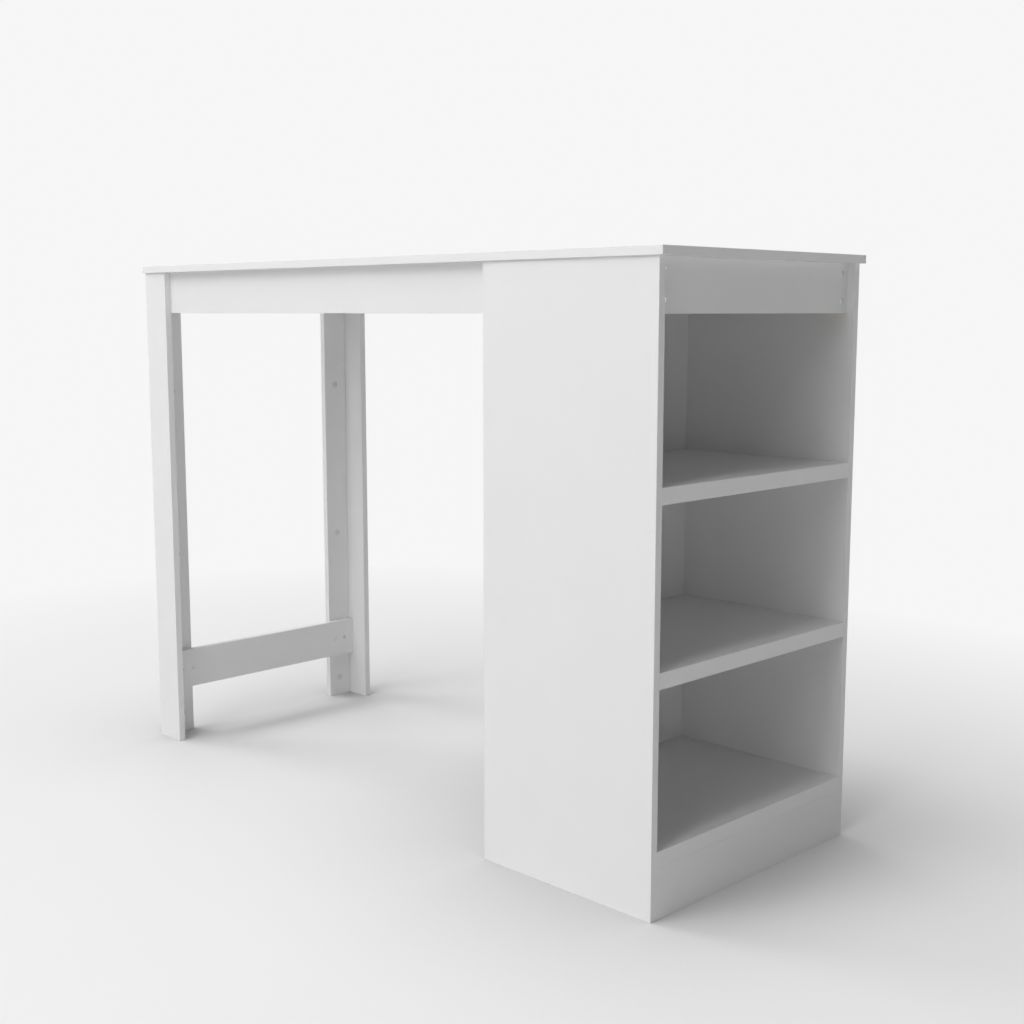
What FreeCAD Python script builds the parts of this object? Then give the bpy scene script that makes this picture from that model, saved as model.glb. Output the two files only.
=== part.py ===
import FreeCAD, Part
import os

# Bar table with an open shelf cabinet at one end and two L-shaped board legs at the other.
# All boards are white melamine-faced chipboard. +X runs from the legs to the shelf end, the
# front is -Y, and the origin lies on the floor under the middle of the top. Millimetres.

# Overall sizes
TOP_LENGTH = 1520.0
TOP_WIDTH = 585.0
TABLE_HEIGHT = 1100.0
BOARD = 15.0
SHELF_BOARD = 28.0

# How far the top stands out past the frame under it
OVERHANG_SHELF_END = 10.0
OVERHANG_LEG_END = 5.0
OVERHANG_SIDES = 5.0

# Cabinet
CABINET_DEPTH = 394.0
PLINTH_HEIGHT = 90.0
FASCIA_SETBACK = 15.0
CLEAT_SIDE = 28.0

# Legs and rails
LEG_SIDE = 80.0
APRON_HEIGHT = 90.0
STRETCHER_HEIGHT = 90.0
STRETCHER_LIFT = 110.0

# Cam lock and the bolt that it hooks
CAM_DIAMETER = 15.0
CAM_SETBACK = 34.0
CAM_FLOOR = 2.5
CAM_SINK = 0.3
CAM_GRIP = 3.5
BOLT_DIAMETER = 5.0
BOLT_HEAD_DIAMETER = 7.0
BOLT_HEAD_LENGTH = 3.0

# Wooden dowel
DOWEL_DIAMETER = 8.0
DOWEL_LENGTH = 30.0

# Where the fittings stand
LEG_CAM_COUNT = 3
LEG_CAM_FOOT = 46.0
LEG_CAM_HEAD = 271.0
SHELF_DOWEL_INSET = 50.0

# Room left around the fittings, and the board left under a blind hole
FACE_HOLE_FLOOR = 4.0
HOLE_ROOM = 0.1
BOLT_ROOM = 0.4
DRILL_START = 1.0

Vec = FreeCAD.Vector
X_AXIS = Vec(1, 0, 0)
Y_AXIS = Vec(0, 1, 0)
Z_AXIS = Vec(0, 0, 1)
SIDES = {"front": -1, "rear": 1}
SHELVES = ("bottom_shelf", "middle_shelf", "upper_shelf")

# Planes that several boards share
X_TOP = TOP_LENGTH / 2
X_LEG = -X_TOP + OVERHANG_LEG_END
X_WEB = X_LEG + BOARD
X_RAIL = X_WEB + BOARD
X_END = X_TOP - OVERHANG_SHELF_END
X_BACK = X_END - CABINET_DEPTH
X_SHELF = X_BACK + BOARD
X_FASCIA = X_END - FASCIA_SETBACK
X_CLEAT = X_FASCIA - BOARD
Y_OUT = TOP_WIDTH / 2 - OVERHANG_SIDES
Y_IN = Y_OUT - BOARD
Y_APRON = Y_IN - BOARD
Y_WEB = Y_OUT - LEG_SIDE
Z_UNDER = TABLE_HEIGHT - BOARD
Z_APRON = Z_UNDER - APRON_HEIGHT

# The shelves share the height between plinth and fascia in equal clear openings
SHELF_PITCH = (Z_APRON - PLINTH_HEIGHT) / len(SHELVES)

FACE_HOLE_DEPTH = BOARD - FACE_HOLE_FLOOR

boards = {}
fittings = {}


class Board:
    """A rectangular board between two corners, less the holes drilled in it."""

    def __init__(self, low, high):
        self.low = low
        self.high = high
        self.drills = []

    def drill(self, tool):
        self.drills.append(tool)

    def solid(self):
        size = self.high - self.low
        blank = Part.makeBox(size.x, size.y, size.z, self.low)
        return blank.cut(self.drills) if self.drills else blank


def add_board(name, x, y, z):
    """Adds a board from its two limits along each axis, given in either order."""
    low = Vec(min(x), min(y), min(z))
    high = Vec(max(x), max(y), max(z))
    boards[name] = Board(low, high)


def add_fitting(group, solid):
    fittings.setdefault(group, []).append(solid)


def hole(point, direction, diameter, depth):
    """Drill that enters at the point, from just outside it, and goes in to the depth."""
    start = point - direction * DRILL_START
    return Part.makeCylinder(diameter / 2, depth + DRILL_START, start, direction)


# Boards


def make_top():
    across = (-TOP_WIDTH / 2, TOP_WIDTH / 2)
    add_board("table_top", (-X_TOP, X_TOP), across, (Z_UNDER, TABLE_HEIGHT))


def make_cabinet():
    """Side panels, the back panel, plinth, fascia and shelves between them, and the fascia's cleats."""
    for name, side in SIDES.items():
        add_board(name + "_side_panel", (X_BACK, X_END), (side * Y_IN, side * Y_OUT), (0, Z_UNDER))
        add_board(name + "_fascia_cleat", (X_CLEAT - CLEAT_SIDE, X_CLEAT),
                  (side * (Y_IN - CLEAT_SIDE), side * Y_IN), (Z_APRON, Z_UNDER))
    across = (-Y_IN, Y_IN)
    add_board("back_panel", (X_BACK, X_SHELF), across, (0, Z_UNDER))
    add_board("plinth", (X_END - BOARD, X_END), across, (0, PLINTH_HEIGHT))
    add_board("fascia", (X_CLEAT, X_FASCIA), across, (Z_APRON, Z_UNDER))
    for level, name in enumerate(SHELVES):
        bottom = PLINTH_HEIGHT + level * SHELF_PITCH
        add_board(name, (X_SHELF, X_END), across, (bottom, bottom + SHELF_BOARD))


def make_legs():
    """Each leg is a flange on the table's long side and a web behind it, across the table's end."""
    height = (0, Z_UNDER)
    for name, side in SIDES.items():
        add_board(name + "_leg_flange", (X_LEG, X_LEG + LEG_SIDE), (side * Y_IN, side * Y_OUT), height)
        add_board(name + "_leg_web", (X_LEG, X_WEB), (side * Y_WEB, side * Y_IN), height)


def make_rails():
    """Aprons behind the leg flanges, an end rail between them and a stretcher near the floor."""
    for name, side in SIDES.items():
        add_board(name + "_apron", (X_WEB, X_BACK), (side * Y_APRON, side * Y_IN), (Z_APRON, Z_UNDER))
    add_board("end_rail", (X_WEB, X_RAIL), (-Y_APRON, Y_APRON), (Z_APRON, Z_UNDER))
    rise = (STRETCHER_LIFT, STRETCHER_LIFT + STRETCHER_HEIGHT)
    add_board("stretcher", (X_WEB, X_RAIL), (-Y_IN, Y_IN), rise)


# Cam locks in the legs


def cam_lock():
    """Cam about Z with the bolt along +X. Its two slots open at the side, so that a quarter turn
    brings the drum's wall behind the bolt's head."""
    bottom = CAM_FLOOR - BOARD / 2
    top = BOARD / 2 - CAM_SINK
    drum = Part.makeCylinder(CAM_DIAMETER / 2 - HOLE_ROOM, top - bottom, Vec(0, 0, bottom))

    def slot(start, end, diameter):
        half = diameter / 2 + BOLT_ROOM
        corner = Vec(start, -CAM_DIAMETER, -half)
        return Part.makeBox(end - start, CAM_DIAMETER + half, 2 * half, corner)

    head_slot = slot(CAM_GRIP - BOLT_HEAD_LENGTH - BOLT_ROOM, CAM_GRIP, BOLT_HEAD_DIAMETER)
    rod_slot = slot(CAM_GRIP, CAM_DIAMETER, BOLT_DIAMETER)
    return drum.cut([head_slot, rod_slot])


def cam_bolt():
    """Bolt turned about Z, from its threaded end below Z 0 to the head that the cam holds."""
    rod = BOLT_DIAMETER / 2
    head = BOLT_HEAD_DIAMETER / 2
    shoulder = CAM_SETBACK - CAM_GRIP
    end = shoulder + BOLT_HEAD_LENGTH
    start = -FACE_HOLE_DEPTH
    profile = [(0, start), (rod, start), (rod, shoulder), (head, shoulder), (head, end), (0, end)]
    corners = [Vec(radius, 0, height) for radius, height in profile]
    outline = Part.makePolygon(corners + corners[:1])
    return Part.Face(outline).revolve(Vec(), Z_AXIS, 360)


def cam_joint(group, host, mate, seat, inward, shown):
    """Cam in the host and bolt in the mate. The bolt runs inward from its seat on the mate's
    face, along the host's middle, and the cam shows on the host's face that looks along shown."""
    centre = seat + inward * CAM_SETBACK
    host.drill(hole(centre + shown * (BOARD / 2), -shown, CAM_DIAMETER, BOARD - CAM_FLOOR))
    host.drill(hole(seat, inward, BOLT_HEAD_DIAMETER + 2 * BOLT_ROOM, CAM_SETBACK))
    mate.drill(hole(seat, -inward, BOLT_DIAMETER + 2 * HOLE_ROOM, FACE_HOLE_DEPTH))
    cam = cam_lock()
    cam.Placement = FreeCAD.Placement(centre, FreeCAD.Rotation(-inward, Vec(), shown, "ZXY"))
    add_fitting(group + "_cams", cam)
    bolt = cam_bolt()
    bolt.Placement = FreeCAD.Placement(seat, FreeCAD.Rotation(Z_AXIS, inward))
    add_fitting(group + "_cam_bolts", bolt)


def join_legs():
    """Cams spaced evenly up each web draw it against its flange."""
    rise = (Z_UNDER - LEG_CAM_HEAD - LEG_CAM_FOOT) / (LEG_CAM_COUNT - 1)
    for name, side in SIDES.items():
        web = boards[name + "_leg_web"]
        flange = boards[name + "_leg_flange"]
        for step in range(LEG_CAM_COUNT):
            seat = Vec(X_LEG + BOARD / 2, side * Y_IN, LEG_CAM_FOOT + step * rise)
            cam_joint(name + "_leg", web, flange, seat, Y_AXIS * -side, X_AXIS)


# Dowels where a board's end butts on another board's face


def dowel_joint(group, panel, butting, seat, inward):
    """Dowel across the seat on the panel's face, where inward points into the butting board."""
    bore = DOWEL_DIAMETER + 2 * HOLE_ROOM
    panel.drill(hole(seat, -inward, bore, FACE_HOLE_DEPTH))
    butting.drill(hole(seat, inward, bore, DOWEL_LENGTH - FACE_HOLE_DEPTH))
    start = seat - inward * FACE_HOLE_DEPTH
    add_fitting(group + "_dowels", Part.makeCylinder(DOWEL_DIAMETER / 2, DOWEL_LENGTH, start, inward))


def join_cabinet():
    """Two dowels carry each end of a shelf, and one each end of the plinth."""
    for name, side in SIDES.items():
        panel = boards[name + "_side_panel"]
        inward = Y_AXIS * -side
        for shelf_name in SHELVES:
            shelf = boards[shelf_name]
            middle = (shelf.low.z + shelf.high.z) / 2
            for x in (X_SHELF + SHELF_DOWEL_INSET, X_END - SHELF_DOWEL_INSET):
                dowel_joint(shelf_name, panel, shelf, Vec(x, side * Y_IN, middle), inward)
        seat = Vec(X_END - BOARD / 2, side * Y_IN, PLINTH_HEIGHT / 2)
        dowel_joint("plinth", panel, boards["plinth"], seat, inward)


def join_aprons():
    """A dowel sets each apron's end in the back panel."""
    for name, side in SIDES.items():
        seat = Vec(X_BACK, side * (Y_APRON + Y_IN) / 2, (Z_APRON + Z_UNDER) / 2)
        dowel_joint("apron", boards["back_panel"], boards[name + "_apron"], seat, -X_AXIS)


def main():
    make_top()
    make_cabinet()
    make_legs()
    make_rails()
    join_legs()
    join_cabinet()
    join_aprons()
    os.makedirs("parts", exist_ok=True)
    for name, board in boards.items():
        board.solid().exportStep(os.path.join("parts", name + ".step"))
    for name, solids in fittings.items():
        Part.makeCompound(solids).exportStep(os.path.join("parts", name + ".step"))


main()
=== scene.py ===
# %% [markdown]
# # A bar table with a shelf end
# The table is a flat-pack piece: white melamine-faced boards, held together by cam locks, dowels
# and screws. Its frame was measured and drawn beforehand, so the lesson starts from that frame and
# gives every board its eased edges, its edge bands and its drilled holes. The frame's box
# is kept, and the floor's fade is measured from it; the dressed table is meant to come out at the same
# size.

# %% Load the frame
import math

import bpy
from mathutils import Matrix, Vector


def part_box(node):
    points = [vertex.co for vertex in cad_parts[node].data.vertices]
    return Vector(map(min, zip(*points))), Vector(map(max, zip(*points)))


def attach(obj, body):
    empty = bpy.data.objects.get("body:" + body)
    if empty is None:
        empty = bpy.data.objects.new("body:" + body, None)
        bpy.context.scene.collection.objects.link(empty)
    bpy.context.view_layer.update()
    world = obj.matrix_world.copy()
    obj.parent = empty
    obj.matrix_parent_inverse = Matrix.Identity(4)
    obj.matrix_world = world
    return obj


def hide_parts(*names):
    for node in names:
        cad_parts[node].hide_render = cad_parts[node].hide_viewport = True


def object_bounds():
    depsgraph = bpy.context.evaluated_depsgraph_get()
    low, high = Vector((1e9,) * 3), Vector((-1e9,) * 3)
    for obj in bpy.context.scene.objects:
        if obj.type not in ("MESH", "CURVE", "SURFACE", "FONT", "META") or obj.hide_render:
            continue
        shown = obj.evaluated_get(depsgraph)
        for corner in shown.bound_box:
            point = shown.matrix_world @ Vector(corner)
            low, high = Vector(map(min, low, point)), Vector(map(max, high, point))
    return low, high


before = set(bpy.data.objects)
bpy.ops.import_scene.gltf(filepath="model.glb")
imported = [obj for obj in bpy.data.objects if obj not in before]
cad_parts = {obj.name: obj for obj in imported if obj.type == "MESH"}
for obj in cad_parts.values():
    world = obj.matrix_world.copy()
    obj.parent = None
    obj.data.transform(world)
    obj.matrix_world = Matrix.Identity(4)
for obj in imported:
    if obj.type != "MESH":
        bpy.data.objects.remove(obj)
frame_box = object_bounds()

print("frame nodes:", len(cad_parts))
print("frame box:", [tuple(round(v, 4) for v in corner) for corner in frame_box])

# %% [markdown]
# ## Picking objects
# Operators act on whatever is selected, and loading the frame leaves its nodes selected. One small
# helper clears the selection and picks what the next operator should touch. A second one
# puts an object's place, turn and size into its mesh, so that every piece ends at the origin.

# %% Pick and settle


def pick(*pieces):
    """Selects these objects alone and makes the first one active."""
    bpy.ops.object.select_all(action="DESELECT")
    for piece in pieces:
        piece.select_set(True)
    bpy.context.view_layer.objects.active = pieces[0]


def settle(piece):
    """Puts the object's place, turn and size into its mesh."""
    pick(piece)
    bpy.ops.object.transform_apply(location=True, rotation=True, scale=True)


bpy.ops.object.select_all(action="DESELECT")
print("selected:", len(bpy.context.selected_objects))

# %% [markdown]
# ## A tone that drifts
# A white board is never one flat white. Its resin paper varies a little in tone over a hand's
# width, and metal and wood vary more. One node group mixes two close tones by a soft noise. A
# group is built once, and each finish then places it with its own tones and scale.

# %% Node group for a drifting tone
# A Mix node has sockets for every kind of data, and these are its colour sockets.
MIX_A = 6
MIX_B = 7
MIX_RESULT = 2


def new_group(name, inputs, outputs):
    """An empty shader group with these named sockets, and its two end nodes."""
    tree = bpy.data.node_groups.new(name, "ShaderNodeTree")
    for label, kind in inputs:
        tree.interface.new_socket(name=label, in_out="INPUT", socket_type="NodeSocket" + kind)
    for label, kind in outputs:
        tree.interface.new_socket(name=label, in_out="OUTPUT", socket_type="NodeSocket" + kind)
    return tree, tree.nodes.new("NodeGroupInput"), tree.nodes.new("NodeGroupOutput")


def make_drift_group():
    """Two close tones, mixed by a broad noise."""
    inputs = [("Vector", "Vector"), ("Scale", "Float"), ("Tone A", "Color"), ("Tone B", "Color")]
    tree, given, out = new_group("Drifting tone", inputs, [("Color", "Color")])
    noise = tree.nodes.new("ShaderNodeTexNoise")
    noise.inputs["Detail"].default_value = 4
    noise.inputs["Roughness"].default_value = 0.55
    mix = tree.nodes.new("ShaderNodeMix")
    mix.data_type = "RGBA"
    tree.links.new(given.outputs["Vector"], noise.inputs["Vector"])
    tree.links.new(given.outputs["Scale"], noise.inputs["Scale"])
    tree.links.new(noise.outputs["Fac"], mix.inputs["Factor"])
    tree.links.new(given.outputs["Tone A"], mix.inputs[MIX_A])
    tree.links.new(given.outputs["Tone B"], mix.inputs[MIX_B])
    tree.links.new(mix.outputs[MIX_RESULT], out.inputs["Color"])
    return tree


drift_group = make_drift_group()
print("group:", drift_group.name)

# %% [markdown]
# ## A fine relief
# The press plate leaves a fine pearl on a melamine board, the trimmer leaves faint marks on an edge
# band, and a cast part keeps the skin of its mould. All are a fine relief. The group gives the
# height for a bump and a roughness that follows the same relief.

# %% Node group for fine relief


def make_relief_group():
    """Fine noise, as a height and as a roughness between two limits."""
    inputs = [("Vector", "Vector"), ("Scale", "Float"), ("Smoothest", "Float"), ("Roughest", "Float")]
    tree, given, out = new_group("Fine relief", inputs, [("Height", "Float"), ("Roughness", "Float")])
    noise = tree.nodes.new("ShaderNodeTexNoise")
    noise.inputs["Detail"].default_value = 3
    gloss = tree.nodes.new("ShaderNodeMapRange")
    tree.links.new(given.outputs["Vector"], noise.inputs["Vector"])
    tree.links.new(given.outputs["Scale"], noise.inputs["Scale"])
    tree.links.new(noise.outputs["Fac"], gloss.inputs["Value"])
    tree.links.new(given.outputs["Smoothest"], gloss.inputs["To Min"])
    tree.links.new(given.outputs["Roughest"], gloss.inputs["To Max"])
    tree.links.new(noise.outputs["Fac"], out.inputs["Height"])
    tree.links.new(gloss.outputs["Result"], out.inputs["Roughness"])
    return tree


relief_group = make_relief_group()
print("group:", relief_group.name)

# %% [markdown]
# ## Plain finishes
# Board face, edge band, cam and screw differ in their numbers and not in their make-up: a drifting
# tone for the colour, and a fine relief for bump and gloss. So one function makes them all, and
# Metallic and Specular go straight on the shader's own sockets. Everything reads Object
# coordinates, which are metres here, so a scale of 900 means grains of about a millimetre.

# %% Melamine, edge band and metals
RELIEF_DEPTH = 0.0002


def grey(level):
    """A neutral colour."""
    return (level, level, level, 1.0)


def place_group(material, tree, values):
    """A node of this group in the material, with its inputs set by name."""
    node = material.node_tree.nodes.new("ShaderNodeGroup")
    node.node_tree = tree
    for label, value in values.items():
        node.inputs[label].default_value = value
    return node


def start_finish(name):
    """A new material, with its nodes, its links and its shader."""
    material = bpy.data.materials.new(name)
    material.use_nodes = True
    nodes = material.node_tree.nodes
    return material, nodes, material.node_tree.links, nodes["Principled BSDF"]


def add_bump(material, height, strength, depth):
    """Lets a height socket raise the surface of the material's shader."""
    nodes = material.node_tree.nodes
    links = material.node_tree.links
    bump = nodes.new("ShaderNodeBump")
    bump.inputs["Strength"].default_value = strength
    bump.inputs["Distance"].default_value = depth
    links.new(height, bump.inputs["Height"])
    links.new(bump.outputs["Normal"], nodes["Principled BSDF"].inputs["Normal"])


def plain_finish(name, tones, drift, grain, gloss, bump, specular=0.5, metallic=0.0):
    """A material with a drifting tone and a fine relief on Object coordinates."""
    material, nodes, links, shader = start_finish(name)
    shader.inputs["Metallic"].default_value = metallic
    shader.inputs["Specular IOR Level"].default_value = specular
    place = nodes.new("ShaderNodeTexCoord")
    tone = place_group(material, drift_group, {"Scale": drift, "Tone A": tones[0], "Tone B": tones[1]})
    relief = place_group(
        material, relief_group, {"Scale": grain, "Smoothest": gloss[0], "Roughest": gloss[1]})
    links.new(place.outputs["Object"], tone.inputs["Vector"])
    links.new(place.outputs["Object"], relief.inputs["Vector"])
    links.new(tone.outputs["Color"], shader.inputs["Base Color"])
    links.new(relief.outputs["Roughness"], shader.inputs["Roughness"])
    add_bump(material, relief.outputs["Height"], strength=bump, depth=RELIEF_DEPTH)
    return material


melamine = plain_finish(
    "white melamine", (grey(0.785), grey(0.815)), drift=7, grain=900, gloss=(0.50, 0.64), bump=0.12,
    specular=0.3)
edge_band = plain_finish(
    "white edge band", (grey(0.79), grey(0.82)), drift=11, grain=500, gloss=(0.44, 0.56), bump=0.08,
    specular=0.3)
glue_line = plain_finish(
    "glue line", (grey(0.68), grey(0.76)), drift=60, grain=700, gloss=(0.5, 0.65), bump=0.2)
cast_zinc = plain_finish(
    "cast zinc", (grey(0.62), grey(0.74)), drift=300, grain=2600, gloss=(0.45, 0.60), bump=0.35,
    metallic=1.0)
plated_steel = plain_finish(
    "plated steel", (grey(0.57), grey(0.68)), drift=240, grain=3000, gloss=(0.42, 0.55), bump=0.15,
    metallic=1.0)
print("finishes:", melamine.name, "/", edge_band.name, "/", glue_line.name)
print("metals:", cast_zinc.name, "/", plated_steel.name)

# %% [markdown]
# ## Bare chipboard
# Where no band covers an edge, and inside every drilled hole, the pressed chips show: pale flakes of
# a few millimetres with darker glue between. Cells of a Voronoi texture give each chip a tone of
# its own, and the distance to the cell's middle sets it off from the next one.

# %% Chipboard
CHIPS_PER_METRE = 420
CHIP_DEPTH = 0.0006


def make_chipboard():
    """Chips of many tones with a slight relief."""
    material, nodes, links, shader = start_finish("bare chipboard")
    shader.inputs["Roughness"].default_value = 0.85
    place = nodes.new("ShaderNodeTexCoord")
    chips = nodes.new("ShaderNodeTexVoronoi")
    chips.inputs["Scale"].default_value = CHIPS_PER_METRE
    tone = nodes.new("ShaderNodeValToRGB")
    tone.color_ramp.elements[0].color = (0.30, 0.20, 0.11, 1.0)
    tone.color_ramp.elements[1].color = (0.62, 0.47, 0.30, 1.0)
    links.new(place.outputs["Object"], chips.inputs["Vector"])
    links.new(chips.outputs["Color"], tone.inputs["Fac"])
    links.new(tone.outputs["Color"], shader.inputs["Base Color"])
    add_bump(material, chips.outputs["Distance"], strength=0.5, depth=CHIP_DEPTH)
    return material


chipboard = make_chipboard()
print("finish:", chipboard.name)

# %% [markdown]
# ## Bare wood
# The battens behind the fascia are softwood and the dowels are beech. Wood shows streaks that run far
# along the grain and change quickly across it. A noise that is drawn out tenfold along one axis
# gives such streaks, and a colour ramp turns them into early and late wood. Beech comes twice,
# because the dowels lie across the table in the cabinet and along it in the aprons.

# %% Softwood and beech
GRAIN_SCALE = 260
GRAIN_STRETCH = 0.1
GRAIN_DEPTH = 0.0003


def make_wood(name, early, late, along):
    """Wood whose grain runs along the axis with this number."""
    material, nodes, links, shader = start_finish(name)
    shader.inputs["Roughness"].default_value = 0.6
    place = nodes.new("ShaderNodeTexCoord")
    draw_out = nodes.new("ShaderNodeMapping")
    draw_out.inputs["Scale"].default_value[along] = GRAIN_STRETCH
    streaks = nodes.new("ShaderNodeTexNoise")
    streaks.inputs["Scale"].default_value = GRAIN_SCALE
    streaks.inputs["Detail"].default_value = 5
    streaks.inputs["Distortion"].default_value = 1.5
    tone = nodes.new("ShaderNodeValToRGB")
    tone.color_ramp.elements[0].position = 0.35
    tone.color_ramp.elements[0].color = late
    tone.color_ramp.elements[1].position = 0.65
    tone.color_ramp.elements[1].color = early
    links.new(place.outputs["Object"], draw_out.inputs["Vector"])
    links.new(draw_out.outputs["Vector"], streaks.inputs["Vector"])
    links.new(streaks.outputs["Fac"], tone.inputs["Fac"])
    links.new(tone.outputs["Color"], shader.inputs["Base Color"])
    add_bump(material, streaks.outputs["Fac"], strength=0.25, depth=GRAIN_DEPTH)
    return material


softwood = make_wood("bare softwood", (0.72, 0.55, 0.34, 1.0), (0.52, 0.34, 0.17, 1.0), along=2)
BEECH_TONES = ((0.68, 0.47, 0.30, 1.0), (0.52, 0.32, 0.18, 1.0))
beech_across = make_wood("beech across", *BEECH_TONES, along=1)
beech_along = make_wood("beech along", *BEECH_TONES, along=0)
print("finishes:", softwood.name, "/", beech_across.name, "/", beech_along.name)

# %% [markdown]
# ## A board blank
# A board is a cube stretched to the frame's size, with every edge eased a little, as the trimmer
# leaves it. That narrow round catches the light along a white board and shows where two white
# boards meet, so it is real geometry and not a trick of shading.

# %% Stretch a cube and ease its edges
EASE = 0.0005
EASE_SEGMENTS = 3


def in_mm(length):
    """A length in metres as millimetres, to print."""
    return round(length * 1000, 1)


def start_box(name, low, high):
    """A cube stretched between two corners."""
    bpy.ops.object.select_all(action="DESELECT")
    bpy.ops.mesh.primitive_cube_add(size=1, location=(low + high) / 2)
    piece = bpy.context.object
    piece.name = name
    piece.scale = high - low
    settle(piece)
    return piece


def ease_edges(piece, width):
    """Rounds every edge of the piece over this width."""
    pick(piece)
    bpy.ops.object.mode_set(mode="EDIT")
    bpy.ops.mesh.select_all(action="SELECT")
    bpy.ops.mesh.bevel(offset=width, segments=EASE_SEGMENTS, affect="EDGES")
    bpy.ops.object.mode_set(mode="OBJECT")


print("board edges are eased by", in_mm(EASE), "mm")

# %% [markdown]
# ## Finishes by face
# On a real board the two broad faces are melamine, a band is glued along each edge that shows, and
# the other edges stay bare. Each face of the mesh gets its finish by the way it looks. The strip
# next to a broad face shows the thin grey line where the band is glued on.

# %% Choose a finish for each face
FACE, BAND, BARE, LINE = range(4)
WAYS = {"+X": Vector((1, 0, 0)), "-X": Vector((-1, 0, 0)), "+Y": Vector((0, 1, 0)),
        "-Y": Vector((0, -1, 0)), "+Z": Vector((0, 0, 1)), "-Z": Vector((0, 0, -1))}
# How straight a face looks along an axis, where 1 is dead straight
STRAIGHT = 0.99
NEARLY_STRAIGHT = 0.9


def finish_for(normal, thin_axis, banded):
    """The finish of a board's face, from its normal and the ways that its banded edges look."""
    toward_face = abs(normal[thin_axis])
    if toward_face > STRAIGHT:
        return FACE
    if toward_face > NEARLY_STRAIGHT:
        return LINE
    for way, direction in WAYS.items():
        if normal.dot(direction) > STRAIGHT:
            return BAND if way in banded else BARE
    return BAND


def lay_finishes(board, banded):
    """Gives every face of a board its finish."""
    for finish in (melamine, edge_band, chipboard, glue_line):
        board.data.materials.append(finish)
    thin_axis = min(range(3), key=lambda axis: board.dimensions[axis])
    for face in board.data.polygons:
        face.material_index = finish_for(face.normal, thin_axis, banded)


print("a face can look", " ".join(WAYS))

# %% [markdown]
# ## Cutting all the boards
# The frame names each board, and the table below says which of its edges carry a band: those that can
# be seen on the finished table. Every board stands for its frame node and rides on the frame,
# so it moves with it.

# %% Cut the boards
BANDED_EDGES = {
    "table_top": "+X -X +Y -Y",
    "front_side_panel": "+X -X",
    "rear_side_panel": "+X -X",
    "back_panel": "",
    "bottom_shelf": "+X",
    "middle_shelf": "+X",
    "upper_shelf": "+X",
    "plinth": "",
    "fascia": "-Z",
    "front_apron": "-Z",
    "rear_apron": "-Z",
    "end_rail": "-Z",
    "stretcher": "+Z -Z",
    "front_leg_flange": "+X -X",
    "rear_leg_flange": "+X -X",
    "front_leg_web": "+Y",
    "rear_leg_web": "-Y",
}
boards = {}


def dress(piece, slot, *nodes):
    """Makes a piece ride on the frame, in place of these frame nodes."""
    if nodes:
        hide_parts(*nodes)
    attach(piece, "root")


for node, banded in BANDED_EDGES.items():
    board = start_box(node + "_board", *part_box(node))
    ease_edges(board, EASE)
    lay_finishes(board, banded.split())
    dress(board, "white_board", node)
    boards[node] = board
print("boards:", len(boards))

# %% [markdown]
# ## Battens behind the fascia
# Two square battens stand in the upper corners of the cabinet, and the fascia is screwed to them. They
# are planed softwood, so their edges are rounder than a board's. They join the boards by name,
# because screws go into them as well.

# %% Cut the battens
BATTEN_EASE = 0.0015

for node in ("front_fascia_cleat", "rear_fascia_cleat"):
    batten = start_box(node + "_batten", *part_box(node))
    ease_edges(batten, BATTEN_EASE)
    batten.data.materials.append(softwood)
    dress(batten, "softwood_cleat", node)
    boards[node] = batten
print("boards and battens:", len(boards))

# %% [markdown]
# ## Finding the fittings
# The frame holds each dowel, cam and bolt as a solid of its own, several to a node. A copy of
# the node is merged and separated into its loose parts, which are measured and thrown away. The
# node itself is never touched. Where two boxes overlap, a fitting goes into a board.

# %% Measure the fittings
MERGE_DISTANCE = 1e-6


def solids_of(node):
    """The lowest and highest corner of each separate solid in a frame node."""
    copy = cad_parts[node].copy()
    copy.data = copy.data.copy()
    bpy.context.collection.objects.link(copy)
    pick(copy)
    bpy.ops.object.mode_set(mode="EDIT")
    bpy.ops.mesh.select_all(action="SELECT")
    bpy.ops.mesh.remove_doubles(threshold=MERGE_DISTANCE)
    bpy.ops.mesh.separate(type="LOOSE")
    bpy.ops.object.mode_set(mode="OBJECT")
    corners = []
    for part in list(bpy.context.selected_objects):
        columns = list(zip(*(vertex.co for vertex in part.data.vertices)))
        corners.append((Vector([min(c) for c in columns]), Vector([max(c) for c in columns])))
        bpy.data.objects.remove(part)
    return corners


def boards_met(low, high):
    """The boards that share room with the box between two corners."""
    met = []
    for node, board in boards.items():
        board_low, board_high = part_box(node)
        if all(low[a] < board_high[a] and high[a] > board_low[a] for a in range(3)):
            met.append(board)
    return met


fittings = {}
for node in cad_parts:
    if node.endswith(("_dowels", "_cams", "_cam_bolts")):
        fittings[node] = solids_of(node)
print("fittings:", {node: len(solids) for node, solids in fittings.items()})

# %% [markdown]
# ## Drilling
# Each hole is a cylinder a hair larger than its fitting, taken out of every board that the fitting
# meets. A Boolean modifier does this, as a drill would, and it is applied at once. The cams sit
# just below the face, so their bit runs on past it to open the hole. A cutter's own finish
# goes over to the faces that it makes, so a hole shows what the board is made of inside.

# %% Drill for dowels, bolts and cams
HOLE_ROOM = 0.0001
HOLE_SIDES = 48
CAM_BIT_REACH = Vector((0.002, 0, 0))
QUARTER = math.pi / 2
# Turns that lay an upright shape along X, along Y or not at all
AXIS_TURNS = ((0, QUARTER, 0), (QUARTER, 0, 0), (0, 0, 0))


def cut_away(piece, tool):
    """Takes the tool's shape out of the piece. A tool with no finish leaves the piece's own."""
    pick(piece)
    cut = piece.modifiers.new("cut", "BOOLEAN")
    cut.operation = "DIFFERENCE"
    cut.solver = "EXACT"
    cut.material_mode = "TRANSFER" if tool.data.materials else "INDEX"
    cut.object = tool
    bpy.ops.object.modifier_apply(modifier=cut.name)


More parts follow.
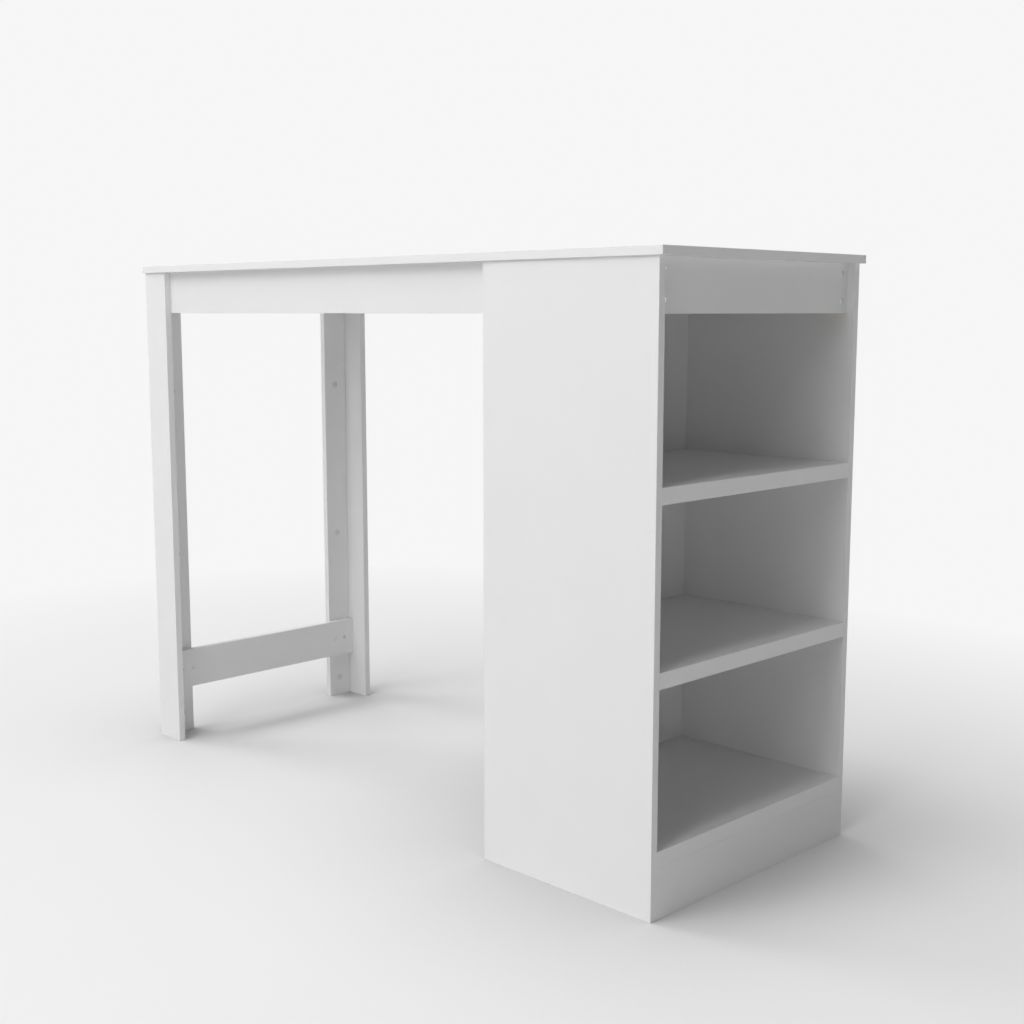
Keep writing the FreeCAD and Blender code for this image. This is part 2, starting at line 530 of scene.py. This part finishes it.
def drill(piece, bit):
    """Takes the bit's shape out of a board or batten, whose inside then shows in the hole."""
    bit.data.materials.clear()
    bit.data.materials.append(softwood if piece.name.endswith("_batten") else chipboard)
    cut_away(piece, bit)


def drill_bit(low, high):
    """A cylinder around a turned fitting. Its axis is the side unlike the other two."""
    size = high - low
    middling = sorted(size)[1]
    axis = max(range(3), key=lambda a: abs(size[a] - middling))
    bpy.ops.object.select_all(action="DESELECT")
    bpy.ops.mesh.primitive_cylinder_add(
        vertices=HOLE_SIDES, radius=middling / 2 + HOLE_ROOM, depth=size[axis] + 2 * HOLE_ROOM,
        location=(low + high) / 2, rotation=AXIS_TURNS[axis])
    return bpy.context.object


for node, solids in fittings.items():
    reach = CAM_BIT_REACH if node.endswith("_cams") else Vector()
    for low, high in solids:
        bit = drill_bit(low, high + reach)
        for board in boards_met(low, high):
            drill(board, bit)
        bpy.data.objects.remove(bit)
    print("drilled for", node)

# %% [markdown]
# ## Turning small parts
# Cams, bolts, dowels and screws are turned on a lathe or cast as if they were. A filled circle is
# extruded ring by ring and resized at each ring, which keeps the profile readable as a list of
# heights and radii. Recesses for the driver are cut afterwards with plain cutters.

# %% A turned blank and its cross
TURN_SIDES = 40
SMOOTH_ANGLE = math.radians(30)


def turned(name, finish, rings):
    """A closed shape about Z through (height, radius) rings, from the bottom up."""
    height, radius = rings[0]
    bpy.ops.object.select_all(action="DESELECT")
    bpy.ops.mesh.primitive_circle_add(
        vertices=TURN_SIDES, radius=radius, fill_type="NGON", location=(0, 0, height))
    piece = bpy.context.object
    piece.name = name
    piece.data.materials.append(finish)
    settle(piece)
    bpy.ops.object.mode_set(mode="EDIT")
    bpy.ops.mesh.select_all(action="SELECT")
    for next_height, next_radius in rings[1:]:
        rise = (0, 0, next_height - height)
        bpy.ops.mesh.extrude_region_move(TRANSFORM_OT_translate={"value": rise})
        grow = next_radius / radius
        bpy.ops.transform.resize(value=(grow, grow, 1), center_override=(0, 0, next_height))
        height, radius = next_height, next_radius
    bpy.ops.mesh.select_all(action="SELECT")
    bpy.ops.mesh.normals_make_consistent(inside=False)
    bpy.ops.object.mode_set(mode="OBJECT")
    return piece


def cut_box(piece, low, high):
    """Takes a box between two corners out of the piece."""
    tool = start_box("cutter", Vector(low), Vector(high))
    cut_away(piece, tool)
    bpy.data.objects.remove(tool)


def cut_cross(piece, span, width, depth, top):
    """A cross for the driver, sunk into a face that looks up."""
    for half_x, half_y in ((span / 2, width / 2), (width / 2, span / 2)):
        cut_box(piece, (-half_x, -half_y, top - depth), (half_x, half_y, top + depth))


def smooth(piece):
    """Shades the piece smooth, apart from its sharp edges."""
    pick(piece)
    bpy.ops.object.shade_smooth_by_angle(angle=SMOOTH_ANGLE)


print("turned parts have", TURN_SIDES, "sides")

# %% [markdown]
# ## One cam lock
# A cam lock is a zinc drum pressed into the board. Its face has a raised rim, a cross for the driver
# and a small notch that points to the bolt. Lower down, a slot at its side lets the bolt's head in,
# and a narrower one holds the rod, so that a quarter turn draws the joint tight. It is modelled
# once, standing on the origin with the bolt along X.

# %% Model a cam
cam_low, cam_high = fittings["rear_leg_cams"][0]
CAM_DEPTH = cam_high.x - cam_low.x
CAM_RADIUS = (cam_high.y - cam_low.y) / 2
CAM_RIM = 0.0011
CAM_DISH = 0.0005
CAM_CROSS = {"span": 0.0068, "width": 0.0015, "depth": 0.0026}
NOTCH_LENGTH = 0.0015
NOTCH_HALF = 0.0004
BOLT_LEVEL = 0.005
# Start and end of each slot along the bolt, and half its width
HEAD_SLOT = (0.0001, 0.0035, 0.0039)
ROD_SLOT = (0.0035, 0.0150, 0.0029)


def model_cam():
    """A cam that stands on the origin, face up."""
    floor = CAM_DEPTH - CAM_DISH
    inner = CAM_RADIUS - CAM_RIM
    cam = turned("cam", cast_zinc, [
        (0, CAM_RADIUS - CAM_DISH), (CAM_DISH, CAM_RADIUS), (floor, CAM_RADIUS),
        (CAM_DEPTH, CAM_RADIUS - CAM_DISH), (CAM_DEPTH, inner), (floor, inner - CAM_DISH)])
    cut_cross(cam, **CAM_CROSS, top=floor)
    for start, end, half in (HEAD_SLOT, ROD_SLOT):
        cut_box(cam, (start, -2 * CAM_RADIUS, BOLT_LEVEL - half), (end, half, BOLT_LEVEL + half))
    cut_box(cam, (inner - NOTCH_LENGTH, -NOTCH_HALF, floor - NOTCH_HALF),
            (inner + NOTCH_HALF, NOTCH_HALF, CAM_DEPTH + CAM_DISH))
    smooth(cam)
    return cam


cam_model = model_cam()
print("cam:", in_mm(2 * CAM_RADIUS), "mm across,", in_mm(CAM_DEPTH), "mm deep")

# %% [markdown]
# ## Setting the cams
# Three cams sit in the web of each leg, on the side away from the table's end. Copies of the one cam
# go where the frame has them, each with its own mesh, and are turned so that the notch points to
# the leg's flange. The three of a leg are then joined into one piece.

# %% Set three cams in each leg
CAM_TURNS = {"front": (-QUARTER, 0, -QUARTER), "rear": (QUARTER, 0, QUARTER)}


def placed_copy(piece, place, turn):
    """A copy with its own mesh, turned about the origin and then moved."""
    copy = piece.copy()
    copy.data = piece.data.copy()
    bpy.context.collection.objects.link(copy)
    copy.rotation_euler = turn
    copy.location = place
    settle(copy)
    return copy


def join_up(pieces, name):
    """Joins pieces into one of this name."""
    pick(*pieces)
    bpy.ops.object.join()
    pieces[0].name = name
    return pieces[0]


for side, turn in CAM_TURNS.items():
    node = side + "_leg_cams"
    cams = []
    for low, high in fittings[node]:
        middle = (low + high) / 2
        cams.append(placed_copy(cam_model, (low.x, middle.y, middle.z), turn))
    dress(join_up(cams, node + "_set"), "zinc_cam", node)
    print(node, "set:", len(cams))
bpy.data.objects.remove(cam_model)

# %% [markdown]
# ## A thread
# A thread is a ridge wound around a core, and its profile has corners of 60 degrees. A circle of three
# points is just that profile. It is set upright beside the axis with one point outwards, and the
# Screw modifier turns and lifts it at the same time. The strip that this leaves is closed at
# its ends and made one solid with its core.

# %% Wind a thread
THREAD_STEPS = 16
THREAD_ROOT = 0.0002
# An even triangle is this many times as high as the radius of the circle around it
TRIANGLE_RISE = 1.5


def wind_thread(core, crest, pitch, low, turns):
    """A ridge wound about Z from this height up, between two radii and rooted in the core."""
    reach = (crest - core + THREAD_ROOT) / TRIANGLE_RISE
    bpy.ops.object.select_all(action="DESELECT")
    bpy.ops.mesh.primitive_circle_add(
        vertices=3, radius=reach, location=(crest - reach, 0, low), rotation=(-QUARTER, -QUARTER, 0))
    ridge = bpy.context.object
    settle(ridge)
    wind = ridge.modifiers.new("wind", "SCREW")
    wind.axis = "Z"
    wind.steps = THREAD_STEPS
    wind.render_steps = THREAD_STEPS
    wind.screw_offset = pitch
    wind.iterations = turns
    bpy.ops.object.modifier_apply(modifier=wind.name)
    bpy.ops.object.mode_set(mode="EDIT")
    bpy.ops.mesh.select_all(action="SELECT")
    bpy.ops.mesh.fill_holes(sides=3)
    bpy.ops.mesh.normals_make_consistent(inside=False)
    bpy.ops.object.mode_set(mode="OBJECT")
    return ridge


def weld(piece, part):
    """Makes the part one solid with the piece."""
    pick(piece)
    union = piece.modifiers.new("weld", "BOOLEAN")
    union.operation = "UNION"
    union.solver = "EXACT"
    union.object = part
    bpy.ops.object.modifier_apply(modifier=union.name)
    bpy.data.objects.remove(part)


print("a thread has", THREAD_STEPS, "steps to the turn")

# %% [markdown]
# ## One cam bolt
# The bolt that a cam hooks is screwed into the other board up to its collar. Its rod crosses the joint
# and ends in a neck and a head, and the cam's wall turns in behind that head. The frame gives its
# length and the head's size, and the rest follows what such bolts are like.

# %% Model a cam bolt
bolt_low, bolt_high = fittings["front_leg_cam_bolts"][0]
BOLT_LENGTH = bolt_high.y - bolt_low.y
BOLT_HEAD = (bolt_high.x - bolt_low.x) / 2
BOLT_HEAD_LENGTH = 0.003
BOLT_SHOULDER = BOLT_LENGTH - BOLT_HEAD_LENGTH
# Radii from the tip up
BOLT_TIP = 0.0010
BOLT_CORE = 0.0019
BOLT_CREST = 0.0034
BOLT_ROD = 0.0025
BOLT_NECK = 0.0020
# Heights above the tip
TIP_TOP = 0.0014
COLLAR_FOOT = 0.0108
COLLAR_LOW = 0.0110
COLLAR_HIGH = 0.0124
COLLAR_TOP = 0.0128
# Lengths at the neck and the head
NECK_LENGTH = 0.0028
NECK_SLOPE = 0.0007
HEAD_SLOPE = 0.0002
HEAD_ROUND = 0.0006
BOLT_CROSS = {"span": 0.0038, "width": 0.0009, "depth": 0.0016}
BOLT_THREAD = {"pitch": 0.0025, "low": 0.0022, "turns": 3}


def model_bolt():
    """A bolt that stands on its tip at the origin."""
    neck_foot = BOLT_SHOULDER - NECK_LENGTH
    bolt = turned("bolt", plated_steel, [
        (0, BOLT_TIP), (TIP_TOP, BOLT_CORE), (COLLAR_FOOT, BOLT_CORE), (COLLAR_LOW, BOLT_CREST),
        (COLLAR_HIGH, BOLT_CREST), (COLLAR_TOP, BOLT_ROD), (neck_foot - NECK_SLOPE, BOLT_ROD),
        (neck_foot, BOLT_NECK), (BOLT_SHOULDER, BOLT_NECK),
        (BOLT_SHOULDER + HEAD_SLOPE, BOLT_HEAD - HEAD_ROUND / 2), (BOLT_SHOULDER + HEAD_ROUND, BOLT_HEAD),
        (BOLT_LENGTH - HEAD_ROUND, BOLT_HEAD), (BOLT_LENGTH, BOLT_HEAD - HEAD_ROUND)])
    cut_cross(bolt, **BOLT_CROSS, top=BOLT_LENGTH)
    weld(bolt, wind_thread(BOLT_CORE, BOLT_CREST, **BOLT_THREAD))
    smooth(bolt)
    return bolt


bolt_model = model_bolt()
print("bolt:", in_mm(BOLT_LENGTH), "mm long,", len(bolt_model.data.polygons), "faces")

# %% [markdown]
# ## Setting the bolts
# Each bolt starts in the flange of its leg and runs inwards to the cam, so the front ones point back
# and the rear ones point forward. As with the cams, the three of a leg are one piece.

# %% Set three bolts in each leg
for side, turn in (("front", -QUARTER), ("rear", QUARTER)):
    node = side + "_leg_cam_bolts"
    bolts = []
    for low, high in fittings[node]:
        middle = (low + high) / 2
        tip = low.y if side == "front" else high.y
        bolts.append(placed_copy(bolt_model, (middle.x, tip, middle.z), (turn, 0, 0)))
    dress(join_up(bolts, node + "_set"), "steel_bolt", node)
    print(node, "set:", len(bolts))
bpy.data.objects.remove(bolt_model)

# %% [markdown]
# ## One dowel
# A dowel is a beech pin with chamfered ends. Fine flutes along it let the glue escape as it goes in.
# On a turned blank, every other point of its side is drawn in towards the axis, and that gives
# the flutes at once.

# %% Model a dowel
dowel_low, dowel_high = fittings["plinth_dowels"][0]
DOWEL_LENGTH = dowel_high.y - dowel_low.y
DOWEL_RADIUS = (dowel_high.x - dowel_low.x) / 2
DOWEL_CHAMFER = 0.0008
FLUTE_DEPTH = 0.0003


def model_dowel():
    """A dowel that stands upright about the origin."""
    half = DOWEL_LENGTH / 2
    narrow = DOWEL_RADIUS - DOWEL_CHAMFER
    dowel = turned("dowel", beech_across, [
        (-half, narrow), (DOWEL_CHAMFER - half, DOWEL_RADIUS),
        (half - DOWEL_CHAMFER, DOWEL_RADIUS), (half, narrow)])
    bpy.ops.object.mode_set(mode="EDIT")
    bpy.ops.mesh.select_mode(type="VERT")
    bpy.ops.mesh.select_all(action="DESELECT")
    bpy.ops.object.mode_set(mode="OBJECT")
    for vertex in dowel.data.vertices:
        step = round(math.atan2(vertex.co.y, vertex.co.x) / (2 * math.pi) * TURN_SIDES)
        vertex.select = step % 2 == 1 and abs(vertex.co.z) < half - DOWEL_CHAMFER / 2
    draw_in = 1 - FLUTE_DEPTH / DOWEL_RADIUS
    bpy.ops.object.mode_set(mode="EDIT")
    bpy.ops.transform.resize(value=(draw_in, draw_in, 1), center_override=(0, 0, 0))
    bpy.ops.object.mode_set(mode="OBJECT")
    return dowel


dowel_model = model_dowel()
print("dowel:", in_mm(2 * DOWEL_RADIUS), "x", in_mm(DOWEL_LENGTH), "mm")

# %% [markdown]
# ## Setting the dowels
# The dowels of the shelves and the plinth lie across the table and those of the aprons along it. Each
# kind gets the beech whose grain runs its own way.

# %% Set the dowels
LYING = {"along": (AXIS_TURNS[0], beech_along), "across": (AXIS_TURNS[1], beech_across)}
DOWELS = {
    "bottom_shelf_dowels": "across",
    "middle_shelf_dowels": "across",
    "upper_shelf_dowels": "across",
    "plinth_dowels": "across",
    "apron_dowels": "along",
}

for node, way in DOWELS.items():
    turn, finish = LYING[way]
    dowels = [placed_copy(dowel_model, (low + high) / 2, turn) for low, high in fittings[node]]
    row = join_up(dowels, node + "_set")
    row.data.materials[0] = finish
    dress(row, "beech_dowel", node)
    print(node, "set:", len(dowels))
bpy.data.objects.remove(dowel_model)

# %% [markdown]
# ## One screw
# The rails are held by countersunk chipboard screws with a cross recess, threaded all the way up. The
# profile runs from the tip along the core to the cone under the head. The same profile, as wide as
# the thread and carried on past the head, is the cutter for its hole.

# %% Model a screw and its cutter
SCREW_LENGTH = 0.027
SCREW_TAPER = 0.006
SCREW_SINK = 0.0002
SCREW_ROOM = 0.00015
SCREW_BIT_REACH = 0.002
# Radii from the tip up
SCREW_TIP = 0.0004
SCREW_CORE = 0.0014
SCREW_CREST = 0.0022
SCREW_HEAD = 0.0047
# Depths below the top of the head, and the width of its eased edge
CONE_DEPTH = 0.0028
RIM_DEPTH = 0.0004
EDGE_DEPTH = 0.0001
EDGE_WIDTH = 0.0002
SCREW_CROSS = {"span": 0.0054, "width": 0.0012, "depth": 0.0015}
SCREW_THREAD = {"pitch": 0.002, "low": -0.0203, "turns": 8}


def screw_rings(body, room):
    """Profile of a screw from its tip up to the rim of its head, whose top is at height 0."""
    return [(-SCREW_LENGTH - room, SCREW_TIP + room),
            (-SCREW_LENGTH + SCREW_TAPER, body + room),
            (-CONE_DEPTH - room, body + room),
            (-RIM_DEPTH - room, SCREW_HEAD + room),
            (-EDGE_DEPTH, SCREW_HEAD + room)]


def model_screw():
    """A screw that points down, with the top of its head at the origin."""
    screw = turned("screw", plated_steel, screw_rings(SCREW_CORE, 0) + [(0, SCREW_HEAD - EDGE_WIDTH)])
    cut_cross(screw, **SCREW_CROSS, top=0)
    weld(screw, wind_thread(SCREW_CORE, SCREW_CREST, **SCREW_THREAD))
    smooth(screw)
    return screw


screw_model = model_screw()
mouth = (SCREW_BIT_REACH, SCREW_HEAD + SCREW_ROOM)
screw_bit = turned("screw bit", chipboard, screw_rings(SCREW_CREST, SCREW_ROOM) + [mouth])
print("screw:", in_mm(screw_model.dimensions.z), "mm long")

# %% [markdown]
# ## Driving the screws
# A screw goes through one board into the next, so both need its hole. A helper takes a point on the
# first board's face and the way that the screw is driven, finds the boards in that way, drills them
# and puts a copy of the screw in. The screws of one board are joined into one piece. Where they
# stand one above the other at both ends of a board, another helper works out the points.

# %% Helpers that drive screws
DRIVE_TURNS = {"-X": (0, QUARTER, 0), "+Y": (QUARTER, 0, 0), "-Y": (-QUARTER, 0, 0)}


def drive(point, way):
    """Drills for one screw from a point on a board's face, and gives the screw."""
    head = point + WAYS[way] * SCREW_SINK
    tip = head + WAYS[way] * SCREW_LENGTH
    bit = placed_copy(screw_bit, head, DRIVE_TURNS[way])
    low = Vector([min(pair) for pair in zip(head, tip)])
    high = Vector([max(pair) for pair in zip(head, tip)])
    for board in boards_met(low, high):
        drill(board, bit)
    bpy.data.objects.remove(bit)
    return placed_copy(screw_model, head, DRIVE_TURNS[way])


def drive_all(name, points, way):
    """Drives screws at these points, and makes them one piece."""
    dress(join_up([drive(point, way) for point in points], name), "steel_bolt")
    print(name, "driven:", len(points))


def end_points(node, inset, rises):
    """Points one above the other at both ends of a board, on its side that looks along +X."""
    low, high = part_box(node)
    across = high.y - inset
    return [Vector((high.x, sign * across, low.z + rise)) for sign in (-1, 1) for rise in rises]


print("screws can be driven", " ".join(DRIVE_TURNS))

# %% [markdown]
# ## Screws that show
# Two screws stand side by side at each end of the stretcher, in the web of the leg behind it. Two more
# stand above each other at each end of the fascia, in the batten behind it. Their places were
# measured in the photograph.

# %% Stretcher and fascia screws
STRETCHER_INSETS = (0.028, 0.059)
FASCIA_INSET = 0.0175
FASCIA_HEIGHTS = (0.022, 0.072)

low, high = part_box("stretcher")
middle = (low.z + high.z) / 2
points = [
    Vector((high.x, sign * (high.y - inset), middle)) for sign in (-1, 1) for inset in STRETCHER_INSETS]
drive_all("stretcher_screws", points, "-X")
drive_all("fascia_screws", end_points("fascia", FASCIA_INSET, FASCIA_HEIGHTS), "-X")

# %% [markdown]
# ## Screws inside the frame
# The end rail is screwed to the ends of the leg webs and each apron to the flange of its leg. The heads
# lie on the inner side, where nobody sees them unless the table is turned over, so their places
# are a joiner's guess: two to each joint, one above the other.

# %% End rail and apron screws
RAIL_HEIGHTS = (0.025, 0.065)
RAIL_INSET = 0.025
APRON_INSET = 0.040

drive_all("end_rail_screws", end_points("end_rail", RAIL_INSET, RAIL_HEIGHTS), "-X")

for side, way in (("front", "-Y"), ("rear", "+Y")):
    low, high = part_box(side + "_apron")
    inner = high.y if way == "-Y" else low.y
    points = [Vector((low.x + APRON_INSET, inner, low.z + rise)) for rise in RAIL_HEIGHTS]
    drive_all(side + "_apron_screws", points, way)

bpy.data.objects.remove(screw_model)
bpy.data.objects.remove(screw_bit)

# %% [markdown]
# ## Where the floor turns into backdrop
# The table stands on a pale floor that runs out into an even, pale background. The further from the
# table, the more the floor shows the backdrop's tone. That distance is measured from the table's
# footprint, with the part of each coordinate that lies outside it. Close to a foot, where the
# table hides much of the room, ambient occlusion holds the turn back, and that paints a dark
# contact shade into the floor.

# %% Distance from the table
FADE_NEAR = 0.3
FADE_REACH = 1.9
CONTACT_REACH = 0.5


def vector_step(nodes, links, operation, source, other=(0, 0, 0)):
    """A vector node that works on another node's vector and, where it takes two, on a fixed one."""
    step = nodes.new("ShaderNodeVectorMath")
    step.operation = operation
    step.inputs[1].default_value = other
    links.new(source, step.inputs[0])
    return step


def add_fade(nodes, links):
    """How much of the backdrop the floor shows, from FADE_NEAR beside the table to 1 far off."""
    high = frame_box[1]
    place = nodes.new("ShaderNodeTexCoord")
    mirrored = vector_step(nodes, links, "ABSOLUTE", place.outputs["Object"])
    outside = vector_step(nodes, links, "SUBTRACT", mirrored.outputs["Vector"], (high[0], high[1], 0))
    clear = vector_step(nodes, links, "MAXIMUM", outside.outputs["Vector"])
    distance = vector_step(nodes, links, "LENGTH", clear.outputs["Vector"])
    fade = nodes.new("ShaderNodeMapRange")
    fade.inputs["From Max"].default_value = FADE_REACH
    fade.inputs["To Min"].default_value = FADE_NEAR
    links.new(distance.outputs["Value"], fade.inputs["Value"])
    return fade


print("floor fades over", FADE_REACH, "m")

# %% [markdown]
# ## Floor
# The camera sees that turn, and so do metal and gloss. For them the floor's tone also has contact
# shade painted in, darker where ambient occlusion finds the table close. For all other rays the
# floor has one plain tone, which settles how much light it throws back on the table from below.
# Which rays show the backdrop is worked out by a helper, because the world needs it too.

# %% Lay the floor
BACKDROP = 0.922
FLOOR_TONE = 0.73
FLOOR_SHOWN = 0.74
# Tone of the painted contact shade, where ambient occlusion finds the table right beside the floor
PAINTED_CONTACT_SHADE = 0.33
CONTACT_HOLD = 2
FLOOR_SIDE = 60


def add_showing_rays(nodes, links):
    """1 for rays that show the backdrop: the camera's own, glossy and transmitted ones."""
    rays = nodes.new("ShaderNodeLightPath")
    straight = nodes.new("ShaderNodeMath")
    straight.operation = "MAXIMUM"
    showing = nodes.new("ShaderNodeMath")
    showing.operation = "MAXIMUM"
    links.new(rays.outputs["Is Camera Ray"], straight.inputs[0])
    links.new(rays.outputs["Is Glossy Ray"], straight.inputs[1])
    links.new(straight.outputs["Value"], showing.inputs[0])
    links.new(rays.outputs["Is Transmission Ray"], showing.inputs[1])
    return showing


def make_floor_finish():
    """A matt floor that the camera sees turn into the backdrop, with contact shade painted into its tone.
    """
    material, nodes, links, shader = start_finish("pale floor")
    nodes.remove(shader)
    lit = nodes.new("ShaderNodeBsdfDiffuse")
    lit.inputs["Color"].default_value = grey(FLOOR_TONE)
    shown = nodes.new("ShaderNodeBsdfDiffuse")
    pale = nodes.new("ShaderNodeEmission")
    pale.inputs["Color"].default_value = grey(BACKDROP)
    contact = nodes.new("ShaderNodeAmbientOcclusion")
    contact.inputs["Distance"].default_value = CONTACT_REACH
    # Painted contact shade: the floor's seen tone goes darker, from FLOOR_SHOWN down to the contact tone,
    # as ambient occlusion finds the table closer
    shade = nodes.new("ShaderNodeMapRange")
    shade.inputs["To Min"].default_value = PAINTED_CONTACT_SHADE
    shade.inputs["To Max"].default_value = FLOOR_SHOWN
    # Painted contact shade as well: ambient occlusion holds back the backdrop's tone next to the feet
    hold = nodes.new("ShaderNodeMath")
    hold.operation = "POWER"
    hold.inputs[1].default_value = CONTACT_HOLD
    turn = nodes.new("ShaderNodeMath")
    turn.operation = "MULTIPLY"
    turning = nodes.new("ShaderNodeMixShader")
    seen = nodes.new("ShaderNodeMixShader")
    links.new(contact.outputs["AO"], shade.inputs["Value"])
    links.new(shade.outputs["Result"], shown.inputs["Color"])
    links.new(contact.outputs["AO"], hold.inputs[0])
    links.new(add_fade(nodes, links).outputs["Result"], turn.inputs[0])
    links.new(hold.outputs["Value"], turn.inputs[1])
    links.new(turn.outputs["Value"], turning.inputs["Fac"])
    links.new(shown.outputs["BSDF"], turning.inputs[1])
    links.new(pale.outputs["Emission"], turning.inputs[2])
    links.new(add_showing_rays(nodes, links).outputs["Value"], seen.inputs["Fac"])
    links.new(lit.outputs["BSDF"], seen.inputs[1])
    links.new(turning.outputs["Shader"], seen.inputs[2])
    links.new(seen.outputs["Shader"], nodes["Material Output"].inputs["Surface"])
    return material


bpy.ops.object.select_all(action="DESELECT")
bpy.ops.mesh.primitive_plane_add(size=FLOOR_SIDE)
floor = bpy.context.object
floor.name = "floor"
floor.data.materials.append(make_floor_finish())
print("floor:", floor.name)

# %% [markdown]
# ## World
# The world gives soft light from all around. The camera, and anything glossy, sees the backdrop's
# tone there instead, so the background stays even without any more light on the table.

# %% Light the world
WORLD_LIGHT = 0.13


def make_world():
    """A world that lights softly and shows the backdrop."""
    world = bpy.data.worlds.new("studio")
    world.use_nodes = True
    nodes = world.node_tree.nodes
    links = world.node_tree.links
    soft = nodes["Background"]
    soft.inputs["Color"].default_value = grey(1.0)
    soft.inputs["Strength"].default_value = WORLD_LIGHT
    pale = nodes.new("ShaderNodeBackground")
    pale.inputs["Color"].default_value = grey(BACKDROP)
    blend = nodes.new("ShaderNodeMixShader")
    links.new(add_showing_rays(nodes, links).outputs["Value"], blend.inputs["Fac"])
    links.new(soft.outputs["Background"], blend.inputs[1])
    links.new(pale.outputs["Background"], blend.inputs[2])
    links.new(blend.outputs["Shader"], nodes["World Output"].inputs["Surface"])
    return world


bpy.context.scene.world = make_world()
print("world:", bpy.context.scene.world.name, WORLD_LIGHT)

# %% [markdown]
# ## Lamps
# The shadows on the floor tell where the main lights stand: one before the long front, one beyond the
# legs, and a broad one overhead. They leave the shelf end in half shade. Weak, low fills stand
# around that end and reach into the compartments, and one stands behind the table, low enough to
# miss the floor, so that the back reads as white too. All are large, because large lamps give
# soft edges.

# %% Place key and fills
LAMP_TARGET = Vector((0, 0, 0.5))


def add_lamp(name, azimuth, elevation, distance, size, power):
    """A square lamp that looks at the table from this direction, in degrees and metres."""
    turn = math.radians(azimuth)
    rise = math.radians(elevation)
    way = Vector((math.cos(turn) * math.cos(rise), math.sin(turn) * math.cos(rise), math.sin(rise)))
    bpy.ops.object.light_add(type="AREA", location=LAMP_TARGET + way * distance)
    lamp = bpy.context.object
    lamp.name = name
    lamp.data.shape = "SQUARE"
    lamp.data.size = size
    lamp.data.energy = power
    lamp.rotation_euler = (-way).to_track_quat("-Z", "Y").to_euler()
    print("lamp:", name, power, "W")


add_lamp("front key", azimuth=-90, elevation=50, distance=7, size=4, power=192)
add_lamp("front left key", azimuth=-112, elevation=38, distance=7, size=4, power=102)
add_lamp("left key", azimuth=-160, elevation=50, distance=9, size=2.6, power=206)
add_lamp("leg end key", azimuth=160, elevation=50, distance=7, size=2, power=36)
add_lamp("overhead", azimuth=0, elevation=88, distance=7, size=3.2, power=80)
add_lamp("slanting fill", azimuth=-70, elevation=25, distance=7, size=2, power=35)
add_lamp("corner fill", azimuth=-50, elevation=0, distance=7, size=1.4, power=21)
add_lamp("shelf fill", azimuth=-10, elevation=-1, distance=7, size=1, power=11)
add_lamp("right fill", azimuth=50, elevation=1, distance=7, size=1.4, power=21)
add_lamp("back fill", azimuth=98, elevation=6, distance=7, size=2.4, power=80)

# %% [markdown]
# ## Camera
# The camera looks at the shelf end's front corner from just below the top's height, tilted down a
# little. Its place was worked out from the corners of the boards in the photograph.

# %% Place the camera
CAMERA_PLACE = (2.1624, -2.0219, 0.9973)
CAMERA_TURN = 45.0
CAMERA_DIP = 8.0
CAMERA_SENSOR = 36
CAMERA_LENS = 50

bpy.ops.object.camera_add(
    location=CAMERA_PLACE, rotation=(math.radians(90 - CAMERA_DIP), 0, math.radians(CAMERA_TURN)))
camera = bpy.context.object
camera.data.sensor_width = CAMERA_SENSOR
camera.data.lens = CAMERA_LENS
bpy.context.scene.camera = camera
bpy.context.scene.view_settings.view_transform = "Standard"
print("camera:", CAMERA_PLACE)
